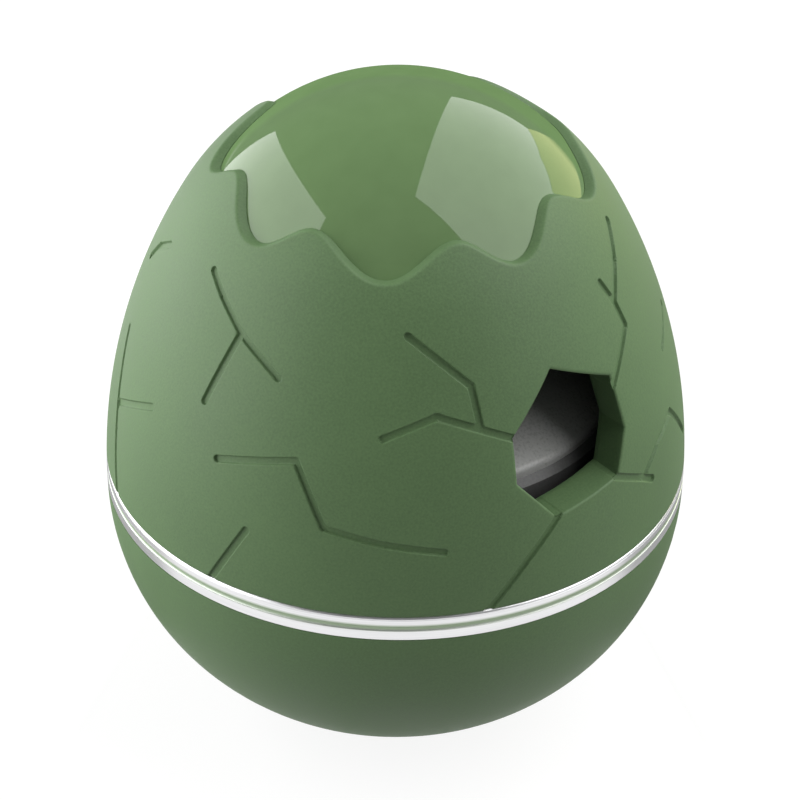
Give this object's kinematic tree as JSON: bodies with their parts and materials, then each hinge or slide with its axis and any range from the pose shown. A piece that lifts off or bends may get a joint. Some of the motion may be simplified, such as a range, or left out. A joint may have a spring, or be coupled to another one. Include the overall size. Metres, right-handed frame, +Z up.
{
  "type": "interactive pet ball",
  "caption": "Egg-shaped wobbling treat toy: cracked matte shell with a wavy glossy crown and a treat hole lifts off a weighted base with a sealed motor drive.",
  "frame": {"origin": "centre of the flat that the egg stands on", "axes": "+Z up along the egg's axis, -Y out of the treat hole, +X to the right seen from the treat hole"},
  "size_m": [0.086, 0.086, 0.0995],
  "materials": {
    "matte_green": "fine matte moulded texture",
    "gloss_green": "polished",
    "bright_trim": "bright plated",
    "dark_plastic": "satin",
    "dome_plastic": "satin",
    "button_plastic": "satin",
    "black_plastic": "matte",
    "black_rubber": "smooth",
    "grey_rubber": "matte",
    "board_green": "solder mask",
    "lamp_white": "translucent",
    "chassis_grey": "moulded",
    "gear_white": "acetal",
    "cell_blue": "shrink sleeve",
    "lead_red": "insulation",
    "screw_steel": "zinc plated",
    "socket_steel": "drawn",
    "shaft_steel": "ground",
    "cast_metal": "as cast",
    "bronze": "sintered",
    "brass": "machined"
  },
  "bodies": {
    "base": {"lower_shell": "matte_green", "trim_ring": "bright_trim", "pod_housing": "dark_plastic", "dome_cover": "dome_plastic", "shell_seal": "black_rubber", "dome_seal": "black_rubber", "deck_screws": "screw_steel", "push_switch": "black_plastic", "circuit_board": "board_green", "control_chip": "black_plastic", "charging_socket": "socket_steel", "status_lamps": "lamp_white", "board_screws": "screw_steel", "ballast_weight": "cast_metal", "ballast_screws": "screw_steel", "chassis_plate": "chassis_grey", "plate_screws": "screw_steel", "shaft_bushes": "bronze", "idler_pin": "shaft_steel", "idler_clip": "shaft_steel", "motor_can": "socket_steel", "motor_end_cap": "gear_white", "motor_screws": "screw_steel", "motor_leads": "lead_red", "battery_cell": "cell_blue", "battery_cradle": "black_plastic", "battery_contacts": "brass", "battery_leads": "lead_red"},
    "lid": {"upper_shell": "matte_green", "crown_cap": "gloss_green"},
    "wobbler": {"output_shaft": "shaft_steel", "output_gear": "gear_white", "eccentric_weight": "cast_metal", "weight_screw": "screw_steel", "shaft_clip": "shaft_steel"},
    "idler": {"idler_gear": "gear_white"},
    "rotor": {"motor_shaft": "shaft_steel", "motor_pinion": "brass"},
    "button": {"power_button": "button_plastic"},
    "plug": {"port_plug": "grey_rubber"}
  },
  "joints": [
    {"name": "shell_lift", "type": "slide", "parent": "base", "child": "lid", "axis": [0, 0, 1], "range_m": [0, 0.09]},
    {"name": "weight_spin", "type": "hinge", "parent": "base", "child": "wobbler", "pos_m": [0, 0, 0.02], "axis": [0, 0, 1], "continuous": true},
    {"name": "idler_spin", "type": "hinge", "parent": "base", "child": "idler", "pos_m": [0, 0.021, 0.02], "axis": [0, 0, 1], "continuous": true},
    {"name": "motor_spin", "type": "hinge", "parent": "base", "child": "rotor", "pos_m": [0.01299, 0.0135, 0.02], "axis": [0, 0, 1], "continuous": true},
    {"name": "button_press", "type": "slide", "parent": "base", "child": "button", "axis": [0, 0, -1], "range_m": [0, 0.0008], "stiffness_N_per_m": 800},
    {"name": "plug_pull", "type": "slide", "parent": "base", "child": "plug", "axis": [0, 1, 0], "range_m": [0, 0.003]}
  ],
  "couplings": [
    {"joint": "idler_spin", "follows": "weight_spin", "ratio": -4},
    {"joint": "motor_spin", "follows": "weight_spin", "ratio": 16}
  ]
}
